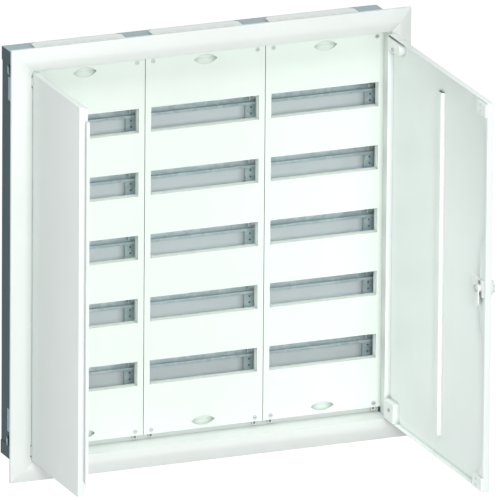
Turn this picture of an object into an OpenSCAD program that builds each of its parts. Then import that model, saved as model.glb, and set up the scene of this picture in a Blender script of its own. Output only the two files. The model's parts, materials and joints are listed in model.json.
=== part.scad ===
// Flush-mounted distribution cabinet: a sheet-steel box let into a wall, a mitred trim
// frame with two unequal doors, and slotted covers over rows of mounting rail.
// Millimetres. The origin is the centre of the box's back face, +Z is up and the doors
// face -Y. Depths are counted from the wall surface, positive into the wall.

/* [Fields and rows] */
// Number of fields side by side
field_count = 3; // [2:1:4]
// Width of one field
field_w = 244; // [236:1:270]
// Number of device rows
row_count = 5; // [3:1:7]
// Height from one device row to the next
row_pitch = 125; // [110:1:150]
// Holes of an upright in one row pitch
row_holes = 10; // [6:2:12]
// Width of a cover beside a device slot
slot_side = 12.8; // [10:0.1:40]
// Height of a device slot
slot_h = 46; // [40:0.5:60]

/* [Covers] */
// Depth of the cover face behind the wall surface
cover_depth = 28; // [24:0.5:34]
// Cover height above the first row and below the last
cover_end = 60; // [56:1:80]
// Depth of a cover with its rim
cover_rim = 10; // [9:0.5:14]
// Wall thickness of a cover
cover_t = 1.6; // [1.5:0.1:2.5]
// Gap between two neighbouring covers
cover_gap = 1.4; // [0.8:0.1:2]
// Depth of the collar round a device slot
collar_depth = 14; // [10:0.5:18]
// Depth of the wider front part of a device slot
ledge_depth = 6; // [4:0.5:8]
// Width of the ledge inside a device slot
ledge_w = 1; // [0.6:0.1:1.5]
// Width of a finger grip
grip_w = 48; // [40:1:60]
// Height of a finger grip
grip_h = 20; // [16:1:24]
// Depth of a finger grip
grip_depth = 7.5; // [5:0.5:7.5]
// Distance of a finger grip's centre from the cover's edge
grip_inset = 15; // [14:0.5:24]
// Distance of a cover fastener from the cover's side edge
fastener_side = 15.5; // [10:0.5:20]
// Distance of a cover fastener from the cover's top or bottom edge
fastener_end = 8; // [7:0.5:9]
// Radius of a cover fastener's head
fastener_r = 4; // [3.5:0.1:4.5]
// Width of a forked clip
clip_w = 7.6; // [6:0.1:8]

/* [Trim frame] */
// Width of the trim frame's face, from the outer edge to the opening
band_w = 42; // [38:0.5:60]
// Width of the outer slope of the trim frame
slope_w = 25; // [16:0.5:28]
// Height of the outer edge above the wall
edge_h = 6; // [4:0.25:8]
// Height of the crest above the wall
crest_h = 15; // [14:0.25:18]
// Length of the rounding over the crest, to each side
crest_round = 5; // [2:0.5:8]
// Height of the inner lip above the wall
lip_h = 13; // [12.5:0.25:14]
// Sheet thickness of the trim frame
frame_t = 1.2; // [1:0.05:1.25]
// Gap between the covers' top and bottom edges and the opening's edge
cover_reveal = 11.5; // [9:0.5:20]
// Overlap of the side bars in front of the outer covers
cover_lap = 3; // [2:0.5:5]
// Width of the flange that carries the covers
flange_w = 24; // [22:1:28]
// Distance of the trim frame's screws from the entry plates' sides
screw_beside = 1.5; // [1:0.1:3]
// Width of the angles that carry the trim frame
frame_bracket_w = 16; // [12:0.5:16]
// Depth of those angles along the end panels
frame_bracket_d = 22; // [16:0.5:24]
// Thickness of those angles
frame_bracket_t = 2; // [1.5:0.1:2.5]

/* [Box] */
// Overhang of the trim frame over the box
overhang = 24.5; // [22:0.5:27]
// Depth of the box behind the wall surface
box_depth = 108; // [104:1:160]
// Sheet thickness of the box
box_t = 1.5; // [1:0.1:1.6]
// Depth of the box's front edge behind the wall surface
box_front = 3; // [2:0.5:8]
// Height of the end panels' side flanges
end_flange = 26; // [20:1:27]
// Spacing of the wall fixing holes across
fix_w = 620; // [560:1:640]
// Spacing of the wall fixing holes up
fix_h = 660; // [600:1:680]
// Diameter of the wall fixing holes
fix_d = 8; // [6:0.5:10]

/* [Cable entries and anchors] */
// How much closer together the entry plates stand than the fields
entry_closer = 7; // [4:0.5:12]
// Gap between two neighbouring entry plates
entry_gap = 55; // [50:1:90]
// Ledge of an entry plate all round its opening
entry_ledge = 8; // [6:0.5:10]
// Depth of a cable entry plate
entry_d = 76; // [60:1:80]
// Distance of the entry plates from the box's back
entry_back = 9; // [7:0.5:12]
// Thickness of a cable entry plate
entry_t = 2.5; // [2:0.5:4]
// Rear corner chamfer of a cable entry plate
entry_chamfer = 9; // [6:1:20]
// Diameter of the knock-outs
knockout_d = 26; // [20:1:30]
// Knock-outs in one row of an entry plate
knockout_count = 5; // [3:1:5]
// Height of a side entry cover
side_entry_h = 46; // [30:1:60]
// Depth of a side entry cover
side_entry_d = 20; // [14:1:30]
// Height of the side entry covers' centres above and below the middle
side_entry_z = 327; // [280:1:330]
// Distance of the side entry covers from the box's back
side_entry_back = 38; // [30:1:50]
// Height of the wall anchors' centres above and below the middle
anchor_z = 366; // [360:1:367]
// Reach of a wall anchor out of the side
anchor_reach = 7; // [5:0.5:12]
// Distance of the wall anchors' roots from the box's back
anchor_back = 36; // [30:1:50]
// Height of a wall anchor
anchor_h = 13; // [8:0.5:20]
// Length of a wall anchor's root along the side
anchor_root = 5; // [4:0.5:8]
// Length of a wall anchor's slope
anchor_slope = 12; // [8:0.5:20]
// Thickness of a wall anchor
anchor_t = 2; // [1:0.1:3]

/* [Mounting frame] */
// Width of an upright
upright_w = 21; // [18:0.5:22]
// Depth of an upright
upright_d = 7.5; // [7:0.5:12]
// Length of an upright beyond the device rows, at each end
upright_over = 30; // [20:1:34]
// Length of an upright's foot
foot_len = 26; // [20:1:30]
// Sheet thickness of the uprights
upright_t = 1.5; // [1.2:0.1:2]
// Diameter of the holes in an upright
hole_d = 4; // [3:0.5:5]
// Height of the mounting rail
rail_h = 35; // [35:0.5:35.5]
// Depth of the mounting rail
rail_d = 7.5; // [7:0.5:10]
// Thickness of the mounting rail
rail_t = 1; // [0.8:0.1:1.2]
// Width of each lip of the mounting rail
rail_lip = 5; // [4:0.5:5]
// Rise of a rail's axis above its slot's centre
rail_rise = 4; // [0:0.5:5]

/* [Doors] */
// Thickness of a door
door_t = 12; // [11.5:0.5:14]
// Sheet thickness of a door
door_sheet = 1.2; // [1:0.1:1.3]
// Gap between a door's hinge edge and the frame
door_side_gap = 1.5; // [1.4:0.1:2]
// Gap above and below a door
door_end_gap = 2.5; // [2.2:0.1:4]
// Gap between the two doors
meeting_gap = 2; // [1.6:0.1:3]
// Width of the folded lip on a door's free edge
free_lip = 7; // [5:0.5:12]
// Width of that lip beside the lock
lock_lip = 29; // [28:0.5:40]
// Half height of the wide lip beside the lock
lock_zone = 78; // [50:1:120]
// Width of that lip at a door's corners
corner_lip = 34; // [28:0.5:42]
// Height of the wide lip at a door's corners
corner_lip_h = 26; // [20:1:32]
// Height from there to the end of the lip's slope
corner_slope_h = 26; // [16:1:36]
// Width of the left door's meeting rail
meeting_w = 14; // [12.5:0.5:16]
// Thickness of the left door's meeting rail
meeting_t = 6; // [5:0.5:7]
// Reach of the meeting rail past the left door's edge
meeting_lap = 7; // [6:0.5:8]
// Width of the corner guides
guide_w = 42; // [36:1:48]
// Height of the corner guides
guide_h = 25; // [22:1:28]
// Thickness of the corner guides
guide_t = 5; // [3:0.5:6]
// Distance of the corner guides from a door's end
guide_end = 3; // [2:0.5:6]
// Width of the stiffener
stiffener_w = 32; // [24:1:40]
// Depth of the stiffener
stiffener_d = 7; // [4:0.5:8]
// Distance of the stiffener from the right door's pivot
stiffener_x = 244.5; // [150:1:300]
// Top end of the stiffener above the middle
stiffener_top = 335; // [200:1:345]
// Bottom end of the stiffener below the middle
stiffener_bottom = 340; // [200:1:345]
// Angle at which the left door stands open
left_open = 90; // [0:1:105]
// Angle at which the right door stands open
right_open = 90; // [0:1:105]

/* [Hinges] */
// Distance of a hinge's centre from the door's end
hinge_inset = 18; // [17.5:0.5:22]
// Reach of an upper hinge block from the door's edge
upper_block_w = 60; // [52:1:90]
// Reach of a lower hinge block from the door's edge
lower_block_w = 46; // [40:1:90]
// Distance of a hinge block's screw from the door's edge
block_screw_x = 27; // [24:0.5:30]
// Height of an upper hinge block
upper_block_h = 25; // [22:1:32]
// Height of a lower hinge block
lower_block_h = 38; // [30:1:40]
// Length of a hinge knuckle
knuckle_len = 18; // [14:0.5:19]
// Radius of a hinge knuckle
knuckle_r = 2.6; // [2.4:0.05:2.6]
// Radius of a hinge pin
pin_r = 1.5; // [1.2:0.1:1.6]
// Running clearance of a hinge pin
pin_clear = 0.06; // [0.04:0.01:0.08]
// Distance of the pivot outside the opening's edge
pivot_out = 1.5; // [1.5:0.1:1.8]
// Distance of the pivot behind the door's face
pivot_back = 1.5; // [1.4:0.1:1.7]

/* [Lock] */
// Distance of the lock's spindle from the door's free edge
lock_inset = 22; // [22:0.5:24]
// Height of the lock above the door's middle
lock_rise = 16; // [0:1:30]
// Diameter of the rosette
rosette_d = 36.5; // [32:0.5:40]
// Thickness of the rosette
rosette_t = 5; // [3:0.5:6]
// Diameter of the turn knob
knob_d = 24; // [20:0.5:30]
// Height of the turn knob
knob_h = 7.5; // [6:0.5:12]
// Height of the lock plate
lock_plate_h = 32; // [30:1:40]
// Width of the lock plate
lock_plate_w = 48; // [40:1:52]
// Distance of the lock plate from the door's free edge
lock_plate_edge = 9; // [8:0.5:10]
// Thickness of the lock plate
lock_plate_t = 3; // [2:0.5:4]
// Radius of the lock's spindle
spindle_r = 4.5; // [4:0.1:5.5]
// Running clearance of the spindle
spindle_clear = 0.08; // [0.05:0.01:0.1]
// Thickness of the cam
cam_t = 2.5; // [2:0.1:3]
// Reach of the cam from the spindle's axis
cam_reach = 34; // [30:0.5:38]
// Width of the cam
cam_w = 15; // [14:0.5:18]

/* [Hidden] */
$fn = 48;
cut = 0.01;          // overrun of a cutting body
run_gap = 0.5;       // clearance between bodies that pass each other
face_gap = 0.3;      // clearance between faces that turn past each other
screw_clear = 0.05;  // radial clearance round a screw

// A depth behind the wall surface as a Y coordinate.
function at(depth) = depth - box_depth;

// A run of points followed by its mirror image, read backwards.
function both_halves(points) = concat(points,
  [for (i = [len(points) - 1 : -1 : 0]) [-points[i][0], points[i][1]]]);

cover_w = field_w - cover_gap;
slot_w = cover_w - 2 * slot_side;
cover_h = row_count * row_pitch + 2 * cover_end;
flange_depth = cover_depth + cover_rim;
open_w = field_count * field_w - 2 * cover_lap;
open_h = cover_h + 2 * cover_reveal;
frame_w = open_w + 2 * band_w;
frame_h = open_h + 2 * band_w;
box_w = frame_w - 2 * overhang;
box_h = frame_h - 2 * overhang;
side_x = box_w / 2 - box_t;
back_face = box_depth - box_t;

function field_x(i) = (i - (field_count + 1) / 2) * field_w;
function row_z(i) = ((row_count + 1) / 2 - i) * row_pitch;
entry_pitch = field_w - entry_closer;
entry_w = entry_pitch - entry_gap;
function entry_x(i) = (i - (field_count + 1) / 2) * entry_pitch;

// Mounting frame: the uprights stand on the box's back, on the field boundaries.
hole_pitch = row_pitch / row_holes;
upright_face = back_face - upright_d;
upright_limit = side_x - box_t - upright_w / 2 - 0.5;
upright_len = row_count * row_pitch + 2 * upright_over;
function upright_x(i) = min(upright_limit, max(-upright_limit, (i - 1 - field_count / 2) * field_w));
rail_front = upright_face - rail_d;
rail_half = upright_limit + upright_w / 2;
bracket_t = 1.5;
bracket_w = 14;
bracket_h = 17;
rail_head_r = 3.6;
rail_head_h = 2.2;
foot_screw_r = 3;

// Covers
slot_wall = cover_t + ledge_w;
fastener_x = cover_w / 2 - fastener_side;
fastener_z = cover_h / 2 - fastener_end;
fastener_shank = 2.4;
key_h = 8;
key_w = 2.5;
clip_d = 7;
inner_screw_x = entry_x(ceil((field_count + 1) / 2)) + entry_w / 2 + screw_beside;
outer_screw_x = entry_x(field_count) + entry_w / 2 + screw_beside;
frame_screws_x = [-outer_screw_x, -inner_screw_x, inner_screw_x, outer_screw_x];
frame_screw_z = cover_h / 2 - 6;
frame_screw_r = 2.4;

// Doors, drawn closed: the face lies at the inner lip's height.
door_front = -lip_h;
door_inner = door_front + door_sheet;
door_back = door_front + door_t;
door_h = open_h - 2 * door_end_gap;
door_edge = open_w / 2 - door_side_gap;
split_x = field_w - field_count * field_w / 2;
left_free = split_x - meeting_gap / 2;
right_free = split_x + meeting_gap / 2;
pivot_x = open_w / 2 + pivot_out;
pivot_depth = door_front + pivot_back;
meeting_back = door_back + meeting_t;
hat_t = 1.2;
hat_foot = 5;
hat_slant = 3;
guide_bevel = 6;
guide_hole_r = 2;

// Hinges, drawn for the left door's upper end.
hinge_z = door_h / 2 - hinge_inset;
ear_t = 2;
hinge_half = knuckle_len / 2 + face_gap + ear_t;
arm_back = pivot_depth + 3.3;
bracket_back = 12;
block_start = door_sheet + face_gap;
block_back = door_back + 1.5;
block_screw_r = 2.2;
function block_top(height) = min(hinge_z + height / 2, door_h / 2 - door_sheet - 0.1);

// Lock
lock_x = right_free + lock_inset;
knob_back = door_front - rosette_t - face_gap;
cam_front = meeting_back + 1;
cam_back = cam_front + cam_t;
nut_t = 3.5;
nut_r = 7.5;
finger_r = 6.5;
socket_d = 5;
boss_r = spindle_r + 3;
plate_screw_z = lock_plate_h / 2 - 4.5;
plate_screw_r = 2;
plate_screws_z = [lock_rise - plate_screw_z, lock_rise + plate_screw_z];

module white() color([0.94, 0.96, 0.94]) children();
module plastic() color([0.88, 0.91, 0.9]) children();
module zinc() color([0.7, 0.75, 0.78]) children();
module dark_zinc() color([0.32, 0.38, 0.42]) children();
module steel() color([0.6, 0.62, 0.64]) children();

// A block from one corner to another, both given as [x, depth, z].
module block(low, high) translate([low[0], at(low[1]), low[2]]) cube(high - low);

// An XZ outline between two depths.
module slab(depth0, depth1)
  translate([0, at(depth1), 0]) rotate([90, 0, 0]) linear_extrude(depth1 - depth0) children();

// An outline of [x, depth] points between two heights.
module column(z0, z1) translate([0, at(0), z0]) linear_extrude(z1 - z0) children();

// An outline of [depth, z] points between two X positions.
module run(x0, x1) translate([x0, at(0), 0]) rotate([90, 0, 90]) linear_extrude(x1 - x0) children();

// A round bar along Y between two depths.
module bar(x, z, r, depth0, depth1)
  translate([x, at(depth1), z]) rotate([90, 0, 0]) cylinder(r = r, h = depth1 - depth0);

module upside_down() mirror([0, 0, 1]) children();
module right_side() mirror([1, 0, 0]) children();

module both_ends() {
  children();
  upside_down() children();
}

module both_sides() {
  children();
  right_side() children();
}

// Box

module box_shell() dark_zinc() difference() {
  column(-box_h / 2 + box_t, box_h / 2 - box_t) polygon([
    [-side_x, box_front], [-side_x, box_depth], [side_x, box_depth], [side_x, box_front],
    [side_x - box_t, box_front], [side_x - box_t, back_face],
    [-side_x + box_t, back_face], [-side_x + box_t, box_front]]);
  both_ends() both_sides() {
    side_entry(side_x - box_t - cut, side_x + cut);
    bar(fix_w / 2, fix_h / 2, fix_d / 2, back_face - cut, box_depth + cut);
  }
  for (i = [1 : field_count + 1])
    both_ends() bar(upright_x(i), foot_screw_z(), foot_screw_r + screw_clear, back_face - cut, box_depth + cut);
}

// Opening of a side entry, from x0 to x1.
module side_entry(x0, x1) {
  depth = box_depth - side_entry_back;
  block([x0, depth - side_entry_d / 2, side_entry_z - side_entry_h / 2],
        [x1, depth + side_entry_d / 2, side_entry_z + side_entry_h / 2]);
}

module side_entry_covers() zinc()
  both_ends() both_sides() side_entry(side_x - box_t - 0.4, side_x - 0.4);

// Top panel with its flanges over the sides. The bottom panel is its mirror image.
module end_panel() dark_zinc() difference() {
  hole_w = entry_w - 2 * entry_ledge;
  hole_back = box_depth - entry_back - entry_ledge;
  hole_front = box_depth - entry_back - entry_d + entry_ledge;
  slab(box_front, box_depth) polygon([
    [-box_w / 2, box_h / 2], [box_w / 2, box_h / 2], [box_w / 2, box_h / 2 - end_flange],
    [side_x, box_h / 2 - end_flange], [side_x, box_h / 2 - box_t],
    [-side_x, box_h / 2 - box_t], [-side_x, box_h / 2 - end_flange], [-box_w / 2, box_h / 2 - end_flange]]);
  for (i = [1 : field_count])
    block([entry_x(i) - hole_w / 2, hole_front, box_h / 2 - box_t - cut],
          [entry_x(i) + hole_w / 2, hole_back, box_h / 2 + cut]);
}

module box_top_panel() end_panel();
module box_bottom_panel() upside_down() end_panel();

function knockout_x(k) = (k - (knockout_count + 1) / 2) * (knockout_d + 6);

module entry_plate(i) plastic() difference() {
  rear = box_depth - entry_back;
  translate([entry_x(i), 0, 0]) column(box_h / 2, box_h / 2 + entry_t) polygon(both_halves([
    [entry_w / 2, rear - entry_d], [entry_w / 2, rear - entry_chamfer], [entry_w / 2 - entry_chamfer, rear]]));
  for (k = [1 : knockout_count])
    translate([entry_x(i) + knockout_x(k), at(rear - entry_d / 2), box_h / 2 + entry_t - 0.6])
      difference() {
        cylinder(r = knockout_d / 2, h = 1);
        translate([0, 0, -cut]) cylinder(r = knockout_d / 2 - 1.2, h = 2);
      }
}

// A strip bent out of the side, to be walled in.
module wall_anchors() zinc() {
  root = box_depth - anchor_back;
  tip = root - anchor_slope;
  both_ends() both_sides() column(anchor_z - anchor_h / 2, anchor_z + anchor_h / 2) polygon([
    [side_x, root], [side_x, root + anchor_root], [side_x + anchor_t, root + anchor_root],
    [side_x + anchor_reach, tip], [side_x + anchor_reach, tip - anchor_t],
    [side_x + anchor_reach - anchor_t, tip - anchor_t]]);
}

// Mounting frame

function foot_screw_z() = upright_len / 2 + foot_len / 2;

module upright(i) zinc() difference() {
  translate([upright_x(i), 0, 0]) union() {
    column(-upright_len / 2, upright_len / 2) polygon([
      [-upright_w / 2, back_face], [-upright_w / 2, upright_face], [upright_w / 2, upright_face],
      [upright_w / 2, back_face], [upright_w / 2 - upright_t, back_face],
      [upright_w / 2 - upright_t, upright_face + upright_t],
      [-upright_w / 2 + upright_t, upright_face + upright_t], [-upright_w / 2 + upright_t, back_face]]);
    both_ends() block([-upright_w / 2, back_face - upright_t, upright_len / 2 - 8],
                      [upright_w / 2, back_face, upright_len / 2 + foot_len]);
  }
  hole_rows = floor((upright_len / 2 - 10) / hole_pitch);
  for (k = [-hole_rows : hole_rows])
    bar(upright_x(i), rail_rise + k * hole_pitch, hole_d / 2,
        upright_face - cut, upright_face + upright_t + cut);
  both_ends() bar(upright_x(i), foot_screw_z(), foot_screw_r + screw_clear,
                  back_face - upright_t - cut, back_face + cut);
}

module upright_screws() steel() for (i = [1 : field_count + 1]) both_ends() {
  screw(upright_x(i), foot_screw_z(), foot_screw_r, 5.2, 3, back_face - upright_t, box_depth - 0.2);
}

// A screw along Y whose head stands in front of a face at seat_depth.
module screw(x, z, r, head_r, head_h, seat_depth, tip_depth) difference() {
  union() {
    bar(x, z, head_r, seat_depth - head_h, seat_depth);
    bar(x, z, r, seat_depth - cut, tip_depth);
  }
  drive = head_r * 0.55;
  block([x - drive, seat_depth - head_h - cut, z - 0.5], [x + drive, seat_depth - head_h * 0.5, z + 0.5]);
  block([x - 0.5, seat_depth - head_h - cut, z - drive], [x + 0.5, seat_depth - head_h * 0.5, z + drive]);
}

module mounting_rail(i) zinc() difference() {
  half = rail_h / 2;
  channel = half - rail_lip;
  translate([0, 0, row_z(i) + rail_rise]) run(-rail_half, rail_half) polygon([
    [rail_front, half], [rail_front, channel], [upright_face - rail_t, channel],
    [upright_face - rail_t, -channel], [rail_front, -channel], [rail_front, -half],
    [rail_front + rail_t, -half], [rail_front + rail_t, -channel - rail_t],
    [upright_face, -channel - rail_t], [upright_face, channel + rail_t],
    [rail_front + rail_t, channel + rail_t], [rail_front + rail_t, half]]);
  for (k = [1 : field_count + 1])
    bar(upright_x(k), row_z(i) + rail_rise, hole_d / 2, upright_face - rail_t - cut, upright_face + cut);
}

// Angle plates in the rails' channels, one over each upright.
module rail_brackets() zinc() for (i = [1 : row_count], k = [1 : field_count + 1]) difference() {
  seat_depth = upright_face - rail_t;
  z = row_z(i) + rail_rise;
  x = upright_x(k);
  left = x - bracket_w / 2;
  union() {
    block([left, seat_depth - bracket_t, z - bracket_h / 2], [left + bracket_w, seat_depth, z + bracket_h / 2]);
    block([left, rail_front - 1, z - bracket_h / 2], [left + bracket_t, seat_depth, z + bracket_h / 2]);
  }
  bar(x, z, hole_d / 2, seat_depth - bracket_t - cut, seat_depth + cut);
}

module rail_screws() steel() for (i = [1 : row_count], k = [1 : field_count + 1])
  screw(upright_x(k), row_z(i) + rail_rise, hole_d / 2 - screw_clear, rail_head_r, rail_head_h,
        upright_face - rail_t - bracket_t, upright_face + upright_t + 2);

// Trim frame

function face_depth(p) = p < slope_w
  ? -edge_h - (crest_h - edge_h) * p / slope_w
  : -crest_h + (crest_h - lip_h) * (p - slope_w) / (band_w - slope_w);

// Point t of the curve over the crest, from 0 to 1, moved back by inset.
function crest(t, inset) = [
  slope_w + crest_round * (2 * t - 1),
  (1 - t) * (1 - t) * face_depth(slope_w - crest_round) - 2 * t * (1 - t) * crest_h
    + t * t * face_depth(slope_w + crest_round) + inset];

// Section of a bar as [distance from the outer edge, depth], with its return back to the
// given depth and, if flange is over 0, a flange behind the covers.
function bar_section(back, flange) = concat(
  [[0, 0], [0, -edge_h]],
  [for (t = [0 : 0.25 : 1]) crest(t, 0)],
  [[band_w, -lip_h], [band_w, back]],
  flange > 0
    ? [[band_w + flange, back], [band_w + flange, back + frame_t], [band_w - frame_t, back + frame_t]]
    : [[band_w - frame_t, back]],
  [[band_w - frame_t, face_depth(band_w - frame_t) + frame_t]],
  [for (t = [1 : -0.25 : 0]) crest(t, frame_t * 1.07)],
  [[frame_t, face_depth(frame_t) + frame_t * 1.07], [frame_t, 0]]);

// The region of the left or the top bar in front view: the face ends at 45 degrees and the
// flange, inside the opening, at right angles.
module mitre(along, across) {
  reach = band_w + flange_w + 1;
  slab(-crest_h - 1, flange_depth + frame_t + 1) polygon([
    [-along / 2, across / 2], [along / 2, across / 2],
    [along / 2 - band_w, across / 2 - band_w], [along / 2 - band_w, across / 2 - reach],
    [-along / 2 + band_w, across / 2 - reach], [-along / 2 + band_w, across / 2 - band_w]]);
}

module end_bar() white() difference() {
  intersection() {
    run(-frame_w / 2, frame_w / 2)
      polygon([for (q = bar_section(flange_depth, flange_w)) [q[1], frame_h / 2 - q[0]]]);
    mitre(frame_w, frame_h);
  }
  for (i = [1 : field_count])
    translate([field_x(i), 0, 0]) both_sides()
      block([fastener_x - key_h / 2 - 0.5, flange_depth - cut, fastener_z - key_w / 2 - 0.3],
            [fastener_x + key_h / 2 + 0.5, flange_depth + frame_t + cut, fastener_z + key_w / 2 + 0.3]);
  for (x = frame_screws_x)
    bar(x, frame_screw_z, frame_screw_r + screw_clear, flange_depth - cut, flange_depth + frame_t + cut);
}

module side_bar() white() difference() {
  intersection() {
    column(-frame_h / 2, frame_h / 2)
      polygon([for (q = bar_section(cover_depth - run_gap, 0)) [q[0] - frame_w / 2, q[1]]]);
    rotate([0, -90, 0]) mitre(frame_h, frame_w);
  }
  both_ends() block([-pivot_x - knuckle_r - 0.5, -crest_h - 1, hinge_z - hinge_half - 0.4],
                    [-open_w / 2 + 1, arm_back + 0.6, hinge_z + hinge_half + 1.2]);
}

module frame_top() end_bar();
module frame_bottom() upside_down() end_bar();
module frame_left() side_bar();
module frame_right() right_side() side_bar();

// Angles between the flanges and the end panels.
module frame_brackets() zinc() both_ends() for (x = frame_screws_x) difference() {
  back = flange_depth + frame_t;
  half = frame_bracket_w / 2;
  top = box_h / 2 - box_t;
  union() {
    block([x - half, back, frame_screw_z - 6], [x + half, back + frame_bracket_t, top]);
    block([x - half, back, top - frame_bracket_t], [x + half, back + frame_bracket_d, top]);
  }
  bar(x, frame_screw_z, frame_screw_r + screw_clear, back - cut, back + frame_bracket_t + cut);
}

module frame_screws() steel() both_ends() for (x = frame_screws_x)
  screw(x, frame_screw_z, frame_screw_r, 4, 2.4, flange_depth, flange_depth + frame_t + 4);

// Covers

// Almond outline of a finger grip, grown by extra all round.
module almond(extra) {
  half_w = grip_w / 2 + extra;
  half_h = grip_h / 2 + extra;
  r = (half_w * half_w + half_h * half_h) / (2 * half_h);
  intersection() {
    translate([0, half_h - r]) circle(r = r, $fn = 96);
    translate([0, r - half_h]) circle(r = r, $fn = 96);
  }
}

module cover(i) white() translate([field_x(i), 0, 0]) difference() {
  grip_z = cover_h / 2 - grip_inset;
  union() {
    slab(cover_depth, cover_depth + cover_t) square([cover_w, cover_h], center = true);
    slab(cover_depth + cover_t / 2, flange_depth) difference() {
      square([cover_w, cover_h], center = true);
      square([cover_w - 2 * cover_t, cover_h - 2 * cover_t], center = true);
    }
    for (k = [1 : row_count])
      translate([0, 0, row_z(k)]) slab(cover_depth + cover_t / 2, cover_depth + collar_depth)
        square([slot_w + 2 * slot_wall, slot_h + 2 * slot_wall], center = true);
    both_ends() translate([0, 0, grip_z])
      slab(cover_depth + cover_t / 2, cover_depth + grip_depth + cover_t) almond(cover_t);
  }
  for (k = [1 : row_count]) translate([0, 0, row_z(k)]) {
    slab(cover_depth - cut, cover_depth + collar_depth + cut) square([slot_w, slot_h], center = true);
    slab(cover_depth - cut, cover_depth + ledge_depth)
      square([slot_w + 2 * ledge_w, slot_h + 2 * ledge_w], center = true);
  }
  both_ends() translate([0, 0, grip_z]) intersection() {
    slab(cover_depth - cut, cover_depth + grip_depth) almond(0);
    run(-grip_w, grip_w) polygon([
      [cover_depth - 1, -grip_h], [cover_depth - 1, grip_h], [cover_depth + grip_depth, grip_h],
      [cover_depth + grip_depth, 1], [cover_depth + 1, -grip_h / 2]]);
  }
  both_ends() both_sides()
    bar(fastener_x, fastener_z, fastener_shank + screw_clear, cover_depth - cut, cover_depth + cover_t + cut);
}

// Quarter-turn fasteners, whose keys stand across the slots in the flanges.
module cover_fasteners() steel() for (i = [1 : field_count])
  translate([field_x(i), 0, 0]) both_ends() both_sides() difference() {
    back = flange_depth + frame_t;
    union() {
      bar(fastener_x, fastener_z, fastener_r, cover_depth - 1, cover_depth);
      bar(fastener_x, fastener_z, fastener_shank, cover_depth - cut, flange_depth);
      bar(fastener_x, fastener_z, key_w / 2, flange_depth - cut, back + 1.8);
      block([fastener_x - key_w / 2, back + 0.1, fastener_z - key_h / 2],
            [fastener_x + key_w / 2, back + 1.8, fastener_z + key_h / 2]);
    }
    block([fastener_x - fastener_r * 0.7, cover_depth - 1 - cut, fastener_z - 0.6],
          [fastener_x + fastener_r * 0.7, cover_depth - 0.3, fastener_z + 0.6]);
  }

// Forked clips on the flanges beside the covers' corners.
module cover_clips() steel() for (i = [1 : field_count])
  translate([field_x(i), 0, 0]) both_ends() both_sides() difference() {
    block([fastener_x - clip_w / 2, flange_depth - clip_d, cover_h / 2 + 0.8],
          [fastener_x + clip_w / 2, flange_depth, cover_h / 2 + clip_d]);
    block([fastener_x - clip_w / 2 + 1.4, flange_depth - clip_d - cut, cover_h / 2],
          [fastener_x + clip_w / 2 - 1.4, flange_depth - 1.2, cover_h / 2 + clip_d - 1.2]);
  }

// Hinges

// Each bracket lies behind the side bar's return and holds its pin in two ears.
module hinge_brackets() steel() both_ends() both_sides() difference() {
  return_x = open_w / 2 + frame_t;
  union() {
    column(hinge_z - hinge_half, hinge_z + hinge_half)
      polygon([[return_x, arm_back + 1.2], [return_x + ear_t, arm_back + 1.2],
               [return_x + ear_t, bracket_back], [return_x, bracket_back]]);
    for (z = [hinge_z - hinge_half, hinge_z + hinge_half - ear_t]) {
      translate([pivot_x, at(pivot_depth), z]) cylinder(r = knuckle_r, h = ear_t);
      block([return_x, pivot_depth, z], [pivot_x + knuckle_r, arm_back + 4, z + ear_t]);
    }
  }
  translate([pivot_x, at(pivot_depth), hinge_z - hinge_half - 1])
    cylinder(r = pin_r + 0.02, h = 2 * hinge_half + 2);
}

module hinge_pins() steel() both_ends() both_sides() translate([pivot_x, at(pivot_depth), hinge_z]) {
  translate([0, 0, -hinge_half]) cylinder(r = pin_r, h = 2 * hinge_half);
  translate([0, 0, hinge_half]) cylinder(r = knuckle_r - 0.3, h = 0.8);
}

// Hinge block in the left door's upper corner, with its knuckle in front of the pivot.
module hinge_block(width, height, round_end) plastic() difference() {
  edge = -door_edge;
  low = block_top(height) - height;
  union() {
    translate([-pivot_x, at(pivot_depth), hinge_z - knuckle_len / 2]) cylinder(r = knuckle_r, h = knuckle_len);
    block([-pivot_x, door_inner + 0.1, hinge_z - knuckle_len / 2],
          [edge + 4, arm_back, hinge_z + knuckle_len / 2]);
    slab(door_inner, block_back) {
      translate([edge + block_start, low]) square([width - block_start - round_end, height]);
      if (round_end > 0)
        translate([edge + width - round_end, low + height / 2]) circle(r = height / 2);
    }
  }
  translate([-pivot_x, at(pivot_depth), hinge_z - knuckle_len])
    cylinder(r = pin_r + pin_clear, h = 2 * knuckle_len);
  bar(edge + block_screw_x, hinge_z - 6, block_screw_r + screw_clear, door_inner - cut, block_back + cut);
}

module upper_hinge() hinge_block(upper_block_w, upper_block_h, upper_block_h / 2);
module lower_hinge() upside_down() hinge_block(lower_block_w, lower_block_h, 0);

module block_screws() steel() both_ends()
  back_screw(-door_edge + block_screw_x, hinge_z - 6, block_screw_r, 3.6, 2, block_back, door_inner);

// A screw along Y whose head stands behind a face at seat_depth.
module back_screw(x, z, r, head_r, head_h, seat_depth, tip_depth) difference() {
  union() {
    bar(x, z, head_r, seat_depth, seat_depth + head_h);
    bar(x, z, r, tip_depth, seat_depth + cut);
  }
  drive = head_r * 0.55;
  block([x - drive, seat_depth + head_h * 0.5, z - 0.5], [x + drive, seat_depth + head_h + cut, z + 0.5]);
  block([x - 0.5, seat_depth + head_h * 0.5, z - drive], [x + 0.5, seat_depth + head_h + cut, z + drive]);
}

// Doors

module swing_left()
  translate([-pivot_x, at(pivot_depth), 0]) rotate([0, 0, -left_open])
    translate([pivot_x, -at(pivot_depth), 0]) children();

module swing_right()
  translate([pivot_x, at(pivot_depth), 0]) rotate([0, 0, right_open])
    translate([-pivot_x, -at(pivot_depth), 0]) children();

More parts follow.
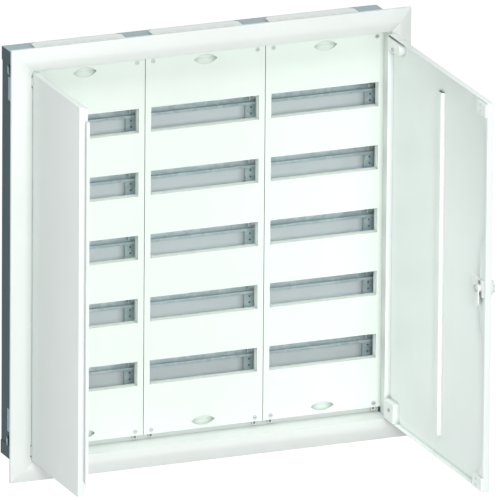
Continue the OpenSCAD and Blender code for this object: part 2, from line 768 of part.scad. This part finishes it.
// A sheet with its four edges folded back, from x0 to x1 in front view.
module door_pan(x0, x1) difference() {
  slab(door_front, door_back) translate([x0, -door_h / 2]) square([x1 - x0, door_h]);
  slab(door_inner, door_back + cut) translate([x0 + door_sheet, -door_h / 2 + door_sheet])
    square([x1 - x0 - 2 * door_sheet, door_h - 2 * door_sheet]);
}

// Gaps in the left door's hinge edge for the arms of its knuckles.
module hinge_cuts()
  both_ends() block([-door_edge - 1, door_inner, hinge_z - knuckle_len / 2 - face_gap],
                    [-door_edge + door_sheet + cut, arm_back + face_gap, hinge_z + knuckle_len / 2 + face_gap]);

// Lip folded in behind a free edge, drawn for the right door. It is wide at the corners and
// over the half height zone beside the lock.
module free_edge_lip(zone) {
  narrow = right_free + free_lip;
  wide = right_free + lock_lip;
  corner = right_free + corner_lip;
  corner_z = door_h / 2 - corner_lip_h;
  slope = lock_lip - free_lip;
  slab(door_back - door_sheet, door_back) polygon(concat(
    [[right_free, door_h / 2], [corner, door_h / 2], [corner, corner_z], [narrow, corner_z - corner_slope_h]],
    zone > 0
      ? [[narrow, lock_rise + zone + slope], [wide, lock_rise + zone],
         [wide, lock_rise - zone], [narrow, lock_rise - zone - slope]]
      : [],
    [[narrow, corner_slope_h - corner_z], [corner, -corner_z],
     [corner, -door_h / 2], [right_free, -door_h / 2]]));
}

module left_door_panel() white() {
  swing_left() difference() {
    door_pan(-door_edge, left_free);
    hinge_cuts();
  }
  on_left_door() free_edge_lip(0);
}

// Rail behind the left door's free edge, which the right door closes on.
module left_door_meeting_rail() white() swing_left() {
  lap_x = left_free + meeting_lap;
  step_x = left_free - 0.2;
  rail_end = door_h / 2 - guide_end - guide_h - run_gap;
  column(-rail_end, rail_end) polygon([
    [lap_x - meeting_w, door_back], [step_x, door_back], [step_x, door_back + run_gap],
    [lap_x, door_back + run_gap], [lap_x, meeting_back], [lap_x - meeting_w, meeting_back]]);
}

module right_door_panel() white() swing_right() difference() {
  union() {
    door_pan(right_free, door_edge);
    free_edge_lip(lock_zone);
  }
  right_side() hinge_cuts();
  bar(lock_x, lock_rise, spindle_r + run_gap, door_front - cut, door_back + cut);
  for (z = plate_screws_z)
    bar(lock_x, z, plate_screw_r + screw_clear, door_back - door_sheet - cut, door_back + cut);
}

// Hat section: flanges of hat_t on the sheet and a crown between slanting sides.
module right_door_stiffener() white() swing_right() {
  half = stiffener_w / 2;
  foot = half - hat_foot;
  crown = foot - hat_slant;
  top = door_inner + stiffener_d;
  outside = [[half, door_inner], [half, door_inner + hat_t], [foot, door_inner + hat_t], [crown, top]];
  inside = [[hat_t - foot, door_inner], [hat_t - crown, top - hat_t]];
  translate([pivot_x - stiffener_x, 0, 0]) column(-stiffener_bottom, stiffener_top)
    polygon(concat(both_halves(outside), both_halves(inside)));
}

// Plastic guide on the wide lip of a free corner, drawn for the upper corner of the right door.
module corner_guide() plastic() difference() {
  top = door_h / 2 - guide_end;
  side = right_free + run_gap;
  slab(door_back, door_back + guide_t) polygon([
    [side, top], [side + guide_w, top], [side + guide_w, top - guide_h + guide_bevel],
    [side + guide_w - guide_bevel, top - guide_h], [side, top - guide_h]]);
  for (row = [-1, 1])
    bar(side + guide_w * 0.6, top - guide_h / 2 + row * guide_h / 5, guide_hole_r,
        door_back - cut, door_back + guide_t + cut);
}

// The right door's free corner moved to the left door's, as its mirror image.
module on_left_door() swing_left() translate([2 * split_x, 0, 0]) right_side() children();

module left_door_upper_guide() on_left_door() corner_guide();
module left_door_lower_guide() on_left_door() upside_down() corner_guide();
module right_door_upper_guide() swing_right() corner_guide();
module right_door_lower_guide() swing_right() upside_down() corner_guide();

module left_door_upper_hinge() swing_left() upper_hinge();
module left_door_lower_hinge() swing_left() lower_hinge();
module left_door_hinge_screws() swing_left() block_screws();
module right_door_upper_hinge() swing_right() right_side() upper_hinge();
module right_door_lower_hinge() swing_right() right_side() lower_hinge();
module right_door_hinge_screws() swing_right() right_side() block_screws();

// Lock, drawn on the closed right door

module lock_plate() plastic() swing_right() difference() {
  union() {
    slab(door_back, door_back + lock_plate_t)
      translate([right_free + lock_plate_edge, lock_rise - lock_plate_h / 2])
        square([lock_plate_w, lock_plate_h]);
    bar(lock_x, lock_rise, boss_r, door_back + lock_plate_t - cut, cam_front - face_gap);
  }
  bar(lock_x, lock_rise, spindle_r + spindle_clear, door_back - cut, cam_front);
  for (z = plate_screws_z)
    bar(lock_x, z, plate_screw_r + screw_clear, door_back - cut, door_back + lock_plate_t + cut);
}

module lock_plate_screws() steel() swing_right() for (z = plate_screws_z)
  back_screw(lock_x, z, plate_screw_r, 3.4, 1.8, door_back + lock_plate_t, door_back - door_sheet - 2);

module lock_rosette() plastic() swing_right() difference() {
  bar(lock_x, lock_rise, rosette_d / 2, door_front - rosette_t, door_front);
  bar(lock_x, lock_rise, spindle_r + spindle_clear, door_front - rosette_t - cut, door_front + cut);
}

module lock_knob() plastic() swing_right() difference() {
  bar(lock_x, lock_rise, knob_d / 2, knob_back - knob_h, knob_back);
  bar(lock_x, lock_rise, spindle_r + 0.01, knob_back - socket_d, knob_back + cut);
  for (side = [-1, 1])
    bar(lock_x + side * (knob_d / 2 + 1), lock_rise, finger_r, knob_back - knob_h - cut, knob_back - 2);
}

module lock_spindle() steel() swing_right()
  bar(lock_x, lock_rise, spindle_r, knob_back - socket_d, cam_back + nut_t + 1);

module lock_cam() plastic() swing_right() difference() {
  tip = lock_rise - cam_reach + cam_w / 2;
  slab(cam_front, cam_back) {
    translate([lock_x, lock_rise]) circle(r = cam_w / 2);
    translate([lock_x, tip]) circle(r = cam_w / 2);
    translate([lock_x - cam_w / 2, tip]) square([cam_w, lock_rise - tip]);
  }
  bar(lock_x, lock_rise, spindle_r + 0.01, cam_front - cut, cam_back + cut);
}

module lock_cam_nut() steel() swing_right() difference() {
  translate([lock_x, at(cam_back + nut_t), lock_rise]) rotate([90, 0, 0])
    cylinder(r = nut_r, h = nut_t, $fn = 6);
  bar(lock_x, lock_rise, spindle_r + 0.01, cam_back - cut, cam_back + nut_t + cut);
}

box_shell();
box_top_panel();
box_bottom_panel();
wall_anchors();
side_entry_covers();
for (i = [1 : field_count]) {
  entry_plate(i);
  upside_down() entry_plate(i);
  cover(i);
}
for (i = [1 : field_count + 1])
  upright(i);
for (i = [1 : row_count])
  mounting_rail(i);
upright_screws();
rail_brackets();
rail_screws();
frame_top();
frame_bottom();
frame_left();
frame_right();
frame_brackets();
frame_screws();
cover_fasteners();
cover_clips();
hinge_brackets();
hinge_pins();
left_door_panel();
left_door_meeting_rail();
left_door_upper_hinge();
left_door_lower_hinge();
left_door_hinge_screws();
left_door_upper_guide();
left_door_lower_guide();
right_door_panel();
right_door_stiffener();
right_door_upper_hinge();
right_door_lower_hinge();
right_door_hinge_screws();
right_door_upper_guide();
right_door_lower_guide();
lock_plate();
lock_plate_screws();
lock_rosette();
lock_knob();
lock_spindle();
lock_cam();
lock_cam_nut();
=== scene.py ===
"""Dresses the flush-mounted switchboard cabinet: finishes, rounded edges, light and camera."""

import json
import math

import bmesh
import bpy
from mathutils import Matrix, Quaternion, Vector


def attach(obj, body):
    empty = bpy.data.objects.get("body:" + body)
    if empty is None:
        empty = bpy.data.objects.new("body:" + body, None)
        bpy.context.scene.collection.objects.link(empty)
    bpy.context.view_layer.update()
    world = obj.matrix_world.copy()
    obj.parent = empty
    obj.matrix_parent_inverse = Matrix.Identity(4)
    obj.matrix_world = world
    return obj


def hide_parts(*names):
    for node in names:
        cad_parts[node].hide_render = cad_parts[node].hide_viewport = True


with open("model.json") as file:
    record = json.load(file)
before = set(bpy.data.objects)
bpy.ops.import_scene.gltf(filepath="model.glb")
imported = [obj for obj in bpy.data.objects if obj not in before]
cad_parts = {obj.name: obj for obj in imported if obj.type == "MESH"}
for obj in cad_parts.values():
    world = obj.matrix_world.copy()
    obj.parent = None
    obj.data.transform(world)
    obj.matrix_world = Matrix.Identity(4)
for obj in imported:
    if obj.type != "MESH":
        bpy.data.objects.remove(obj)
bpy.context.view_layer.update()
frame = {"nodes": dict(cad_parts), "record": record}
MM = 0.001
WHITE = (1, 1, 1)

# How deep below the box's sides and rear its sheet is still coloured dark.
BOX_SKIN = 0.6 * MM

# Within these distances of each other, faces are darkened with painted shade, as crevices are
# darkened by shade.
PAINT_REACH = 14 * MM
DOOR_REACH = 12 * MM
PLASTIC_REACH = 12 * MM
ZINC_REACH = 10 * MM
STEEL_REACH = 4 * MM

# Sheets whose edges are rounded, with the width of the rounding.
DOOR_ROUNDING = 1.1 * MM
TRIM_ROUNDING = 0.5 * MM
ROUNDED = (("left_door_panel", DOOR_ROUNDING), ("right_door_panel", DOOR_ROUNDING),
           ("frame_left", TRIM_ROUNDING), ("frame_right", TRIM_ROUNDING),
           ("frame_top", TRIM_ROUNDING), ("frame_bottom", TRIM_ROUNDING))
ROUNDING_SEGMENTS = 3
WELD_DISTANCE = 1e-6
FLAT_ANGLE = math.radians(1)        # faces that meet flatter than this are one face
ROUNDED_ANGLE = math.radians(40)    # edges sharper than this are rounded
SHADED_ANGLE = math.radians(28)     # edges sharper than this stay sharp in shading

# The surroundings' strength, for rays that light the object and for those that show it.
SKY = 0.32
SKY_IN_VIEW = 1.0

# The floor: half its side, height, paint level, and glow where it is in view.
FLOOR_REACH = 40.0
FLOOR_HEIGHT = -1.35
FLOOR_LEVEL = 0.62
FLOOR_IN_VIEW = 0.8

# The lamps: name, place, the point that they face, side, power in watts and colour.
CABINET_MIDDLE = (0, -0.1, 0)
LAMPS = (
    ("key", (-2.4, -9.6, 3.2), CABINET_MIDDLE, 2.0, 420.0, WHITE),
    ("top", (-0.3, -2.2, 4.5), CABINET_MIDDLE, 2.5, 105.0, WHITE),
    ("low_fill", (-0.25, -1.7, -0.6), (0.2, -0.2, -0.1), 0.9, 3.5, (1.0, 0.97, 0.99)),
    ("left_fill", (-3.2, -1.4, 0.2), CABINET_MIDDLE, 2.0, 23.0, WHITE),
    ("right_fill", (3.2, 0.6, 0.3), (0.3, -0.2, 0), 2.0, 16.0, WHITE),
)

# The camera, fitted to the photo.
AZIMUTH = math.radians(-22.3)
ELEVATION = math.radians(17.6)
ROLL = math.radians(0.45)
DISTANCE = 30.0
CAMERA_TARGET = Vector((0.0794, -0.114, -0.0184))
LENS = 1144.2
CLIP_END = 200.0


# ---------------------------------------------------------------- materials

def new_material(name):
    """An empty node material with a Principled shader wired to its output."""
    material = bpy.data.materials.new(name)
    material.use_nodes = True
    tree = material.node_tree
    tree.nodes.clear()
    output = tree.nodes.new("ShaderNodeOutputMaterial")
    shader = tree.nodes.new("ShaderNodeBsdfPrincipled")
    tree.links.new(shader.outputs["BSDF"], output.inputs["Surface"])
    return material, tree, shader


def object_noise(tree, scale, detail=3.0, stretch=(1, 1, 1)):
    """Noise in object coordinates, which are metres."""
    coords = tree.nodes.new("ShaderNodeTexCoord")
    mapping = tree.nodes.new("ShaderNodeMapping")
    mapping.inputs["Scale"].default_value = stretch
    noise = tree.nodes.new("ShaderNodeTexNoise")
    noise.inputs["Scale"].default_value = scale
    noise.inputs["Detail"].default_value = detail
    tree.links.new(coords.outputs["Object"], mapping.inputs["Vector"])
    tree.links.new(mapping.outputs["Vector"], noise.inputs["Vector"])
    return noise


def ramp(tree, factor, low, high, start=0.3, end=0.7):
    """A two-stop colour ramp driven by factor."""
    node = tree.nodes.new("ShaderNodeValToRGB")
    node.color_ramp.elements[0].position = start
    node.color_ramp.elements[0].color = (*low, 1)
    node.color_ramp.elements[1].position = end
    node.color_ramp.elements[1].color = (*high, 1)
    tree.links.new(factor, node.inputs["Fac"])
    return node.outputs["Color"]


def bump(tree, shader, height, strength, distance):
    """Feeds a height to the shader's normal."""
    node = tree.nodes.new("ShaderNodeBump")
    node.inputs["Strength"].default_value = strength
    node.inputs["Distance"].default_value = distance
    tree.links.new(height, node.inputs["Height"])
    tree.links.new(node.outputs["Normal"], shader.inputs["Normal"])


def painted_crevice_shade(tree, shader, color, reach, depth, open_from=1.0):
    """Feeds a colour to the shader, with painted shade: darker by depth where faces within reach
    enclose it.

    A spot that sees at least the share open_from of its surroundings keeps its full colour."""
    closeness = tree.nodes.new("ShaderNodeAmbientOcclusion")
    closeness.samples = 8
    closeness.inputs["Distance"].default_value = reach
    level = tree.nodes.new("ShaderNodeMapRange")
    level.inputs["From Max"].default_value = open_from
    level.inputs["To Min"].default_value = 1.0 - depth
    level.inputs["To Max"].default_value = 1.0
    tree.links.new(closeness.outputs["AO"], level.inputs["Value"])
    shade = tree.nodes.new("ShaderNodeVectorMath")
    shade.operation = "SCALE"
    tree.links.new(color, shade.inputs[0])
    tree.links.new(level.outputs["Result"], shade.inputs["Scale"])
    tree.links.new(shade.outputs["Vector"], shader.inputs["Base Color"])


def powder_coat(name, color, painted_shade_depth, reach=PAINT_REACH, open_from=1.0):
    """Sprayed and baked paint: faint orange peel and slight cloudiness."""
    material, tree, shader = new_material(name)
    cloud = object_noise(tree, 6.0, 2.0)
    darker = tuple(c * 0.97 for c in color)
    clouded = ramp(tree, cloud.outputs["Fac"], darker, color)
    painted_crevice_shade(tree, shader, clouded, reach, painted_shade_depth, open_from)
    shader.inputs["Roughness"].default_value = 0.42
    shader.inputs["Specular IOR Level"].default_value = 0.4
    peel = object_noise(tree, 900.0, 2.0)
    bump(tree, shader, peel.outputs["Fac"], 0.12, 0.00015)
    return material


def moulded_plastic(name, color, roughness=0.5):
    """Fine-grained moulded plastic."""
    material, tree, shader = new_material(name)
    cloud = object_noise(tree, 9.0, 2.0)
    darker = tuple(c * 0.975 for c in color)
    clouded = ramp(tree, cloud.outputs["Fac"], darker, color)
    painted_crevice_shade(tree, shader, clouded, PLASTIC_REACH, 0.55, 0.9)
    shader.inputs["Roughness"].default_value = roughness
    shader.inputs["Specular IOR Level"].default_value = 0.35
    grain = object_noise(tree, 1600.0, 1.0)
    bump(tree, shader, grain.outputs["Fac"], 0.1, 0.0001)
    return material


def galvanised(name, dark, light, metallic, scale=85.0, roughness=0.38):
    """Zinc-coated sheet: a faint mosaic of crystals."""
    material, tree, shader = new_material(name)
    coords = tree.nodes.new("ShaderNodeTexCoord")
    crystals = tree.nodes.new("ShaderNodeTexVoronoi")
    crystals.inputs["Scale"].default_value = scale
    tree.links.new(coords.outputs["Object"], crystals.inputs["Vector"])
    split = tree.nodes.new("ShaderNodeSeparateColor")
    tree.links.new(crystals.outputs["Color"], split.inputs["Color"])
    mosaic = ramp(tree, split.outputs["Red"], dark, light, 0.0, 1.0)
    painted_crevice_shade(tree, shader, mosaic, ZINC_REACH, 0.7)
    rough = tree.nodes.new("ShaderNodeMapRange")
    rough.inputs["To Min"].default_value = roughness - 0.06
    rough.inputs["To Max"].default_value = roughness + 0.1
    tree.links.new(split.outputs["Green"], rough.inputs["Value"])
    tree.links.new(rough.outputs["Result"], shader.inputs["Roughness"])
    shader.inputs["Metallic"].default_value = metallic
    return material


def box_sheet(name, node, outside, inside):
    """Sheet of a box node whose sides and rear are dark and whose other faces are light."""
    material, tree, shader = new_material(name)
    coords = tree.nodes.new("ShaderNodeTexCoord")
    axes = tree.nodes.new("ShaderNodeSeparateXYZ")
    tree.links.new(coords.outputs["Object"], axes.inputs["Vector"])

    def calculated(operation, first, second=None):
        step = tree.nodes.new("ShaderNodeMath")
        step.operation = operation
        tree.links.new(first, step.inputs[0])
        if isinstance(second, float):
            step.inputs[1].default_value = second
        elif second is not None:
            tree.links.new(second, step.inputs[1])
        return step.outputs["Value"]

    corners = frame["nodes"][node].bound_box
    half_width, rear = (max(corner[i] for corner in corners) - BOX_SKIN for i in (0, 1))
    across = calculated("LESS_THAN", calculated("ABSOLUTE", axes.outputs["X"]), half_width)
    depth = calculated("LESS_THAN", axes.outputs["Y"], rear)
    inner = calculated("MULTIPLY", across, depth)
    cloud = object_noise(tree, 12.0, 3.0)
    tint = ramp(tree, cloud.outputs["Fac"], (0.96, 0.96, 0.96), WHITE)
    pick = tree.nodes.new("ShaderNodeMix")
    pick.data_type = "RGBA"
    pick.inputs["A"].default_value = (*outside, 1)
    pick.inputs["B"].default_value = (*inside, 1)
    tree.links.new(inner, pick.inputs["Factor"])
    shade = tree.nodes.new("ShaderNodeMix")
    shade.data_type = "RGBA"
    shade.blend_type = "MULTIPLY"
    shade.inputs["Factor"].default_value = 1
    tree.links.new(pick.outputs["Result"], shade.inputs["A"])
    tree.links.new(tint, shade.inputs["B"])
    painted_crevice_shade(tree, shader, shade.outputs["Result"], PAINT_REACH, 0.8)
    shader.inputs["Roughness"].default_value = 0.5
    shader.inputs["Specular IOR Level"].default_value = 0.15
    return material


def turned_steel(name, color):
    """Zinc-plated steel of screws, pins and small stampings."""
    material, tree, shader = new_material(name)
    streaks = object_noise(tree, 300.0, 3.0, (1, 1, 6))
    darker = tuple(c * 0.75 for c in color)
    streaked = ramp(tree, streaks.outputs["Fac"], darker, color)
    painted_crevice_shade(tree, shader, streaked, STEEL_REACH, 0.9)
    shader.inputs["Metallic"].default_value = 0.6
    shader.inputs["Roughness"].default_value = 0.35
    return material


# Each material below paints shade into its hollows; a powder coat's third number says how dark.
COVER = moulded_plastic("cover_white", (0.845, 0.93, 0.868))
FRAME_PAINT = powder_coat("frame_white", (0.765, 0.81, 0.785), 0.15)
DOOR_PAINT = powder_coat("door_white", (0.85, 0.918, 0.89), 0.85, DOOR_REACH, 0.8)
FITTING = moulded_plastic("fitting_white", (0.87, 0.92, 0.895), 0.45)
ENTRY = moulded_plastic("entry_white", (0.86, 0.93, 0.9), 0.5)
BOX_OUTSIDE = (0.05, 0.098, 0.115)
END_PANEL = (0.4, 0.52, 0.55)
BOX_SHELL = box_sheet("box_blue_grey", "box_shell", BOX_OUTSIDE, (0.9, 0.97, 0.99))
BOX_TOP = box_sheet("box_top_grey", "box_top_panel", BOX_OUTSIDE, END_PANEL)
BOX_BOTTOM = box_sheet("box_bottom_grey", "box_bottom_panel", BOX_OUTSIDE, END_PANEL)
SIDE_SHEET = galvanised("side_blue_grey", (0.26, 0.38, 0.42), (0.32, 0.44, 0.48),
                        scale=60.0, metallic=0.2, roughness=0.45)
ZINC = galvanised("galvanised_sheet", (0.58, 0.71, 0.74), (0.74, 0.86, 0.89), metallic=0.3)
STEEL = turned_steel("plated_steel", (0.36, 0.38, 0.39))
PALE_STEEL = turned_steel("pale_steel", (0.72, 0.75, 0.75))


# ------------------------------------------------------- finishes of the parts

BOX_FINISHES = {"box_shell": BOX_SHELL, "box_top_panel": BOX_TOP, "box_bottom_panel": BOX_BOTTOM}
FITTING_ENDINGS = ("_upper_hinge", "_lower_hinge", "_guide", "_rosette", "_knob", "_plate", "_cam",
                   "_clips")
PALE_STEEL_NODES = ("cover_fasteners", "lock_cam_nut", "lock_spindle")
ZINC_BEGINNINGS = ("upright_", "mounting_rail", "rail_brackets", "frame_brackets")


def finish_of(node):
    """The material of a CAD node, by its name."""
    if node in BOX_FINISHES:
        return BOX_FINISHES[node]
    if node.startswith(("side_", "wall_")):
        return SIDE_SHEET
    if node.startswith("cover_") and node[-1].isdigit():
        return COVER
    if "entry_plate" in node:
        return ENTRY
    if node.startswith("frame_") and node not in ("frame_brackets", "frame_screws"):
        return FRAME_PAINT
    if node.endswith(("_panel", "_stiffener", "_rail")) and "door" in node:
        return DOOR_PAINT
    if node.endswith(FITTING_ENDINGS):
        return FITTING
    if node in PALE_STEEL_NODES or node.endswith("hinge_screws"):
        return PALE_STEEL
    if node.startswith(ZINC_BEGINNINGS) and node != "upright_screws":
        return ZINC
    return STEEL


def assign(obj, material):
    """Gives an object one material in every slot."""
    if not obj.data.materials:
        obj.data.materials.append(material)
    for i in range(len(obj.data.materials)):
        obj.data.materials[i] = material


for name, obj in frame["nodes"].items():
    assign(obj, finish_of(name))


def bodies_by_node():
    """Node name to body name, from the record."""
    bodies = frame["record"]["behaviour"]["bodies"]
    return {node: body for body, nodes in bodies.items() for node in nodes}


BODY = bodies_by_node()


def rounded_copy(node, width):
    """Puts a copy with rounded sharp edges in the place of a CAD node."""
    source = frame["nodes"][node]
    mesh = bmesh.new()
    mesh.from_mesh(source.data)
    bmesh.ops.remove_doubles(mesh, verts=mesh.verts, dist=WELD_DISTANCE)
    bmesh.ops.dissolve_limit(mesh, angle_limit=FLAT_ANGLE, verts=mesh.verts, edges=mesh.edges)
    sharp = [edge for edge in mesh.edges
             if len(edge.link_faces) == 2 and edge.calc_face_angle() > ROUNDED_ANGLE]
    bmesh.ops.bevel(mesh, geom=sharp, offset=width, segments=ROUNDING_SEGMENTS, affect="EDGES",
                    profile=0.5, clamp_overlap=True)
    data = bpy.data.meshes.new(node + "_finished")
    mesh.to_mesh(data)
    mesh.free()
    for polygon in data.polygons:
        polygon.use_smooth = True
    copy = bpy.data.objects.new(node + "_finished", data)
    bpy.context.scene.collection.objects.link(copy)
    data.set_sharp_from_angle(angle=SHADED_ANGLE)
    data.materials.append(finish_of(node))
    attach(copy, BODY[node])
    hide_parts(node)


for node, width in ROUNDED:
    rounded_copy(node, width)


# ------------------------------------------------------------ floor and lights

def stage_plane(name, reach, height, material):
    """A square floor, not part of the object, that goes as far as reach to each side."""
    mesh = bmesh.new()
    bmesh.ops.create_grid(mesh, x_segments=1, y_segments=1, size=reach)
    data = bpy.data.meshes.new(name)
    mesh.to_mesh(data)
    mesh.free()
    data.materials.append(material)
    plane = bpy.data.objects.new(name, data)
    plane.location.z = height
    bpy.context.scene.collection.objects.link(plane)


def area_light(name, position, target, size, power, color):
    """A soft square lamp that faces a point."""
    data = bpy.data.lights.new(name, "AREA")
    data.size = size
    data.energy = power
    data.color = color
    lamp = bpy.data.objects.new(name, data)
    lamp.location = position
    direction = Vector(target) - Vector(position)
    lamp.rotation_mode = "QUATERNION"
    lamp.rotation_quaternion = direction.to_track_quat("-Z", "Y")
    bpy.context.scene.collection.objects.link(lamp)


def backdrop_level(tree, otherwise, in_view):
    """A level for rays that light the object, and another for those that show the backdrop."""
    path = tree.nodes.new("ShaderNodeLightPath")
    seen = path.outputs["Is Camera Ray"]
    for kind in ("Is Glossy Ray", "Is Transmission Ray"):
        either = tree.nodes.new("ShaderNodeMath")
        either.operation = "MAXIMUM"
        tree.links.new(seen, either.inputs[0])
        tree.links.new(path.outputs[kind], either.inputs[1])
        seen = either.outputs["Value"]
    level = tree.nodes.new("ShaderNodeMapRange")
    level.inputs["To Min"].default_value = otherwise
    level.inputs["To Max"].default_value = in_view
    tree.links.new(seen, level.inputs["Value"])
    return level.outputs["Result"]


def white_floor():
    """White floor, seen so bright that the object's faint shadow on it clips to white."""
    material, tree, shader = new_material("floor_white")
    shader.inputs["Base Color"].default_value = (FLOOR_LEVEL, FLOOR_LEVEL, FLOOR_LEVEL, 1)
    shader.inputs["Roughness"].default_value = 0.9
    shader.inputs["Specular IOR Level"].default_value = 0.1
    shader.inputs["Emission Color"].default_value = (*WHITE, 1)
    glow = backdrop_level(tree, 0.0, FLOOR_IN_VIEW)
    tree.links.new(glow, shader.inputs["Emission Strength"])
    return material


stage_plane("floor", FLOOR_REACH, FLOOR_HEIGHT, white_floor())
for lamp in LAMPS:
    area_light(*lamp)

world = bpy.data.worlds.new("studio")
bpy.context.scene.world = world
world.use_nodes = True
sky = world.node_tree.nodes["Background"]
sky.inputs["Color"].default_value = (*WHITE, 1)
world.node_tree.links.new(backdrop_level(world.node_tree, SKY, SKY_IN_VIEW),
                          sky.inputs["Strength"])


# ----------------------------------------------------------------------- camera

towards_camera = Vector((math.sin(AZIMUTH) * math.cos(ELEVATION),
                         -math.cos(AZIMUTH) * math.cos(ELEVATION),
                         math.sin(ELEVATION)))

camera_data = bpy.data.cameras.new("camera")
camera_data.lens = LENS
camera_data.clip_end = CLIP_END
camera = bpy.data.objects.new("camera", camera_data)
camera.location = CAMERA_TARGET + towards_camera * DISTANCE
camera.rotation_mode = "QUATERNION"
facing = (-towards_camera).to_track_quat("-Z", "Y")
camera.rotation_quaternion = facing @ Quaternion((0, 0, 1), ROLL)
bpy.context.scene.collection.objects.link(camera)
bpy.context.scene.camera = camera
bpy.context.scene.view_settings.view_transform = "Standard"
